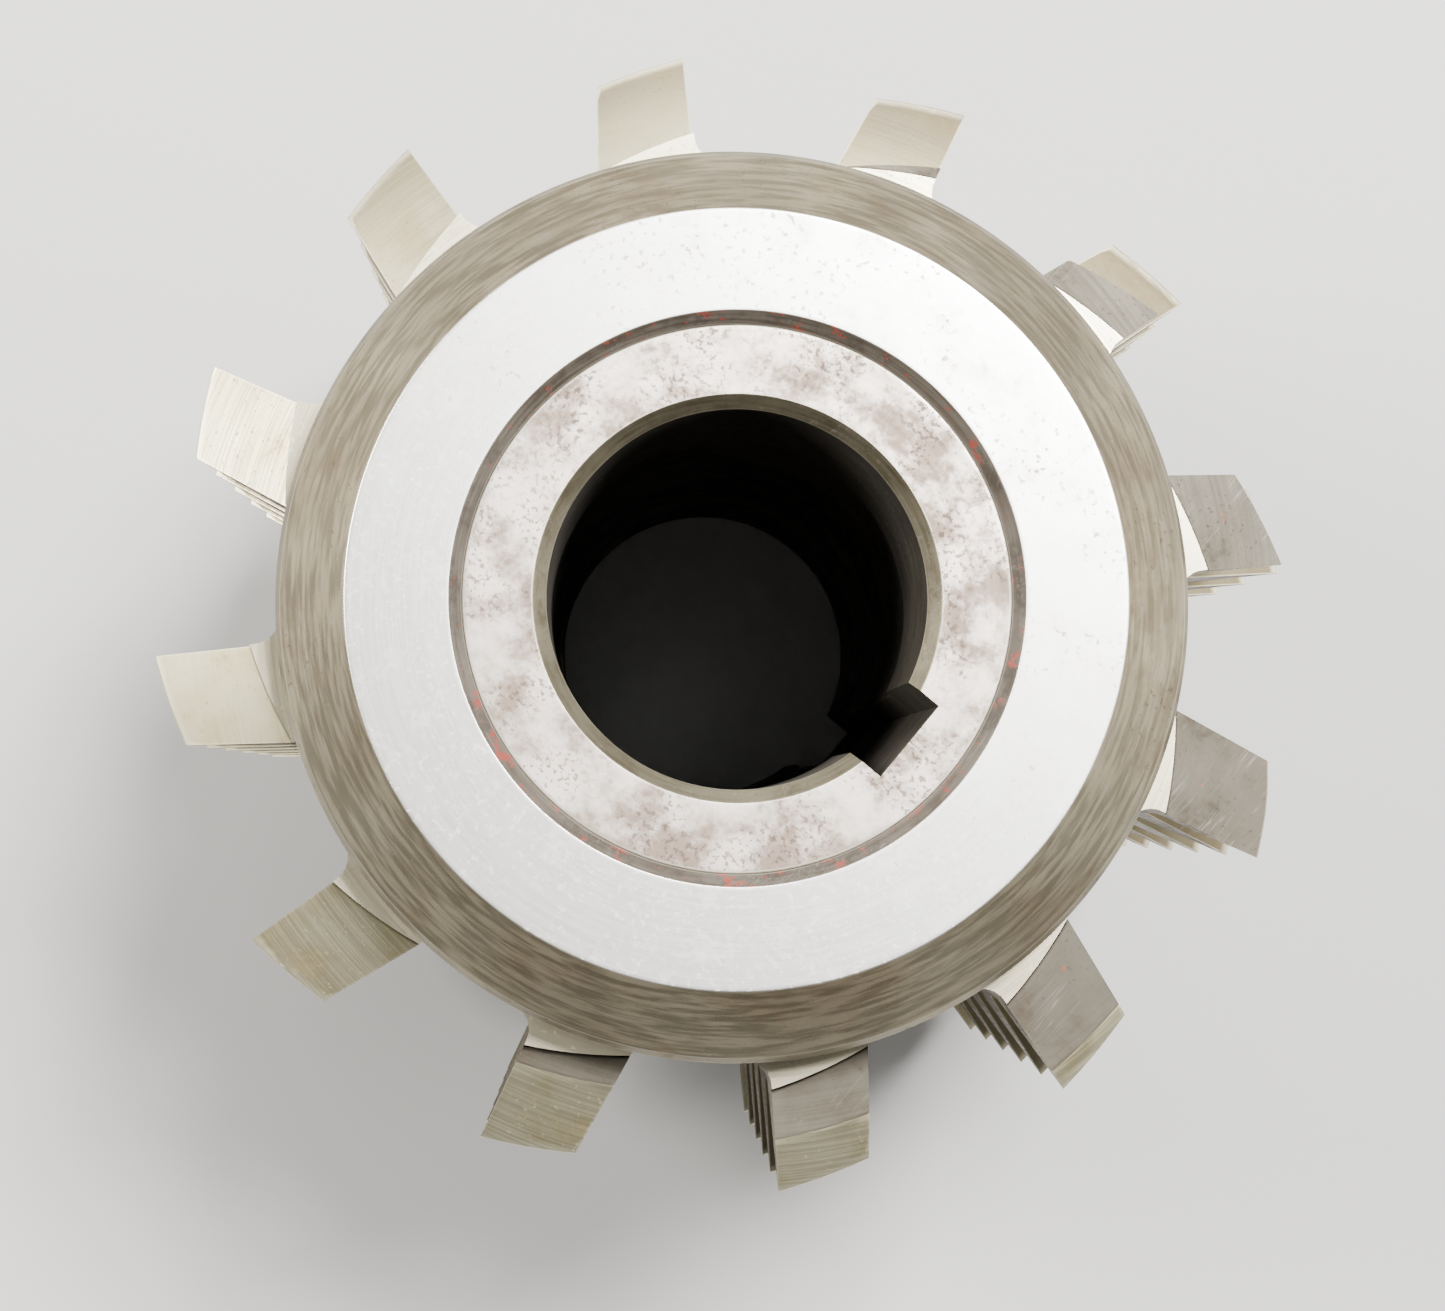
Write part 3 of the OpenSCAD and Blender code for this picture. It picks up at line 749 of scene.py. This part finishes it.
def makeBlade(index):
    # Tongue, root land, end step, teeth, and the same again in reverse, as one closed skin. Behind the
    # cutting face the rack profile climbs by the thread's lead and sinks by the top's fall, both in step
    # with the angle.
    b, c = blade, carrier
    heights, radii, corners = rackProfile(teethTo + b["threadOffset"] + index * b["pitch"] / c["blades"])
    lowest = teethFrom - threadLead * b["heelMost"]
    inside = (heights > lowest) & (heights < teethTo)
    z0 = np.concatenate([[lowest], heights[inside], [teethTo]])[:, None]

    def toothSurface(angle):
        z = np.clip(z0 + threadLead * angle, teethFrom, teethTo)
        return z, np.interp(z - threadLead * angle, heights, radii) - b["fall"] * angle

    parts = [
        tongueContours([shoulderFrom, ringDepth]), endStep(heights, radii, teethFrom, -1),
        bladeContours(toothSurface, np.clip(z0, teethFrom, teethTo), np.interp(z0, heights, corners)),
        endStep(heights, radii, teethTo, 1), tongueContours([frontZ - ringDepth, frontZ - shoulderFrom])]
    points, wearAndHighlight, foot = (np.concatenate(layers) for layers in zip(*parts))
    gullet, front, flank, cut, end = range(5)
    counts = (3 + b["gulletSteps"] - 1, len(b["faceRows"]), len(b["topRows"]), len(b["heelRows"]) + 1)
    sides = np.repeat([gullet, front, flank, cut], counts)
    tongueStrip, endStrip, cutStrip = (np.full_like(sides, n) for n in (gullet, end, cut))
    landStrip = np.where(sides == flank, cut, sides)
    stepStrips = len(parts[1][0]) - 1  # an end step's strips but its land, and the one that joins the teeth
    before = [tongueStrip, endStrip, landStrip] + [cutStrip] * stepStrips
    finish = np.array(before + [sides] * (len(z0) - 1) + before[::-1])
    angle = math.radians(c["firstBlade"]) + index * 2 * math.pi / c["blades"]
    cosine, sine = math.cos(angle), math.sin(angle)
    turn = np.array([[cosine, sine, 0], [-sine, cosine, 0], [0, 0, 1]])
    number = f"{index + 1:02d}"
    buildPiece("blade" + number, sweptShell(points @ turn, finish, wearAndHighlight, foot),
               [steel[n] for n in b["finishes"]], "blade_" + number, smoothAngle=24)


for index in range(carrier["blades"]):
    makeBlade(index)
print("blades made")


cameraView = {
    "turn": 40.0, "tiltX": 3.157, "tiltY": -2.378,  # degrees
    "side": -16.5 * mm, "down": -26.7 * mm, "above": 345.6 * mm,  # from the middle of the front face
    "lens": 66.56, "sensor": 36.0,  # millimetres
    "clipStart": 10 * mm,
}
studio = {
    "floor": (0.44, 0.436, 0.428, 1), "floorSize": 6.0, "floorLines": 9,
    "floorRough": 0.75, "floorTone": 0.97,
    "ambient": (0.98, 0.98, 1.0, 1), "ambientPower": 0.12,
    # name, place in the camera's turned frame from the middle of the front face, size, watts, colour
    "lamps": (("keyLight", (0.42, 0.52, 1.10), 0.5, 78.0, (1.0, 0.99, 0.98)),
              ("leftLight", (-1.05, 0.36, 0.68), 0.7, 38.0, (1.0, 0.98, 0.94)),
              ("topLight", (-0.1, 1.25, 0.42), 0.7, 12.0, (1.0, 0.99, 0.97)),
              ("rightLight", (1.25, 0.05, 0.30), 0.7, 13.0, (1.0, 0.99, 0.97))),
}


def makeFloor():
    # a flat square grid with a faint tone change so that it doesn't look empty
    half, lines = studio["floorSize"] / 2, studio["floorLines"]
    line = np.linspace(-half, half, lines)
    x, y = np.meshgrid(line, line)
    points = np.stack([x, y, np.zeros_like(x)], axis=-1).reshape(-1, 3)
    mesh = bpy.data.meshes.new("floor")
    mesh.from_pydata(points.tolist(), [], gridQuads(lines, lines, wrapColumns=False).tolist())
    material = bpy.data.materials.new("floorPaint")
    material.use_nodes = True
    tree = material.node_tree
    shader = tree.nodes["Principled BSDF"]
    shader.inputs["Roughness"].default_value = studio["floorRough"]
    tone = ramp(tree, noise(tree, objectPoint(tree), 2.0, 3.0), 0.2, 0.8, studio["floorTone"], 1.0)
    feed(tree, shader.inputs["Base Color"], blendColour(tree, 1.0, studio["floor"], tone, "MULTIPLY"))
    mesh.materials.append(material)
    floor = bpy.data.objects.new("floor", mesh)
    bpy.context.collection.objects.link(floor)


def makeLamp(name, place, size, power, colour):
    # a round soft lamp aimed at the middle of the front face; its place turns with the camera
    lamp = bpy.data.lights.new(name, "AREA")
    lamp.shape = "DISK"
    lamp.size = size
    lamp.energy = power
    lamp.color = colour
    holder = bpy.data.objects.new(name, lamp)
    away = Matrix.Rotation(math.radians(cameraView["turn"]), 3, "Z") @ Vector(place)
    holder.location = away + Vector((0, 0, frontZ))
    holder.rotation_euler = away.to_track_quat("Z", "Y").to_euler()
    bpy.context.collection.objects.link(holder)


def makeWorld():
    # even ambient light from all round
    world = bpy.data.worlds.new("studio")
    world.use_nodes = True
    sky = world.node_tree.nodes["Background"]
    sky.inputs["Color"].default_value = studio["ambient"]
    sky.inputs["Strength"].default_value = studio["ambientPower"]
    bpy.context.scene.world = world


def makeCamera():
    # almost straight down the bore, leaning a little towards the far right
    v = cameraView
    data = bpy.data.cameras.new("camera")
    data.lens = v["lens"]
    data.sensor_width = v["sensor"]
    data.clip_start = v["clipStart"]
    holder = bpy.data.objects.new("camera", data)
    bpy.context.collection.objects.link(holder)
    holder.matrix_world = (
        Matrix.Rotation(math.radians(v["turn"]), 4, "Z")
        @ Matrix.Translation((v["side"], v["down"], frontZ + v["above"]))
        @ Matrix.Rotation(math.radians(v["tiltX"]), 4, "X")
        @ Matrix.Rotation(math.radians(v["tiltY"]), 4, "Y"))
    bpy.context.scene.camera = holder


makeFloor()
for lamp in studio["lamps"]:
    makeLamp(*lamp)
makeWorld()
makeCamera()
print("studio ready")
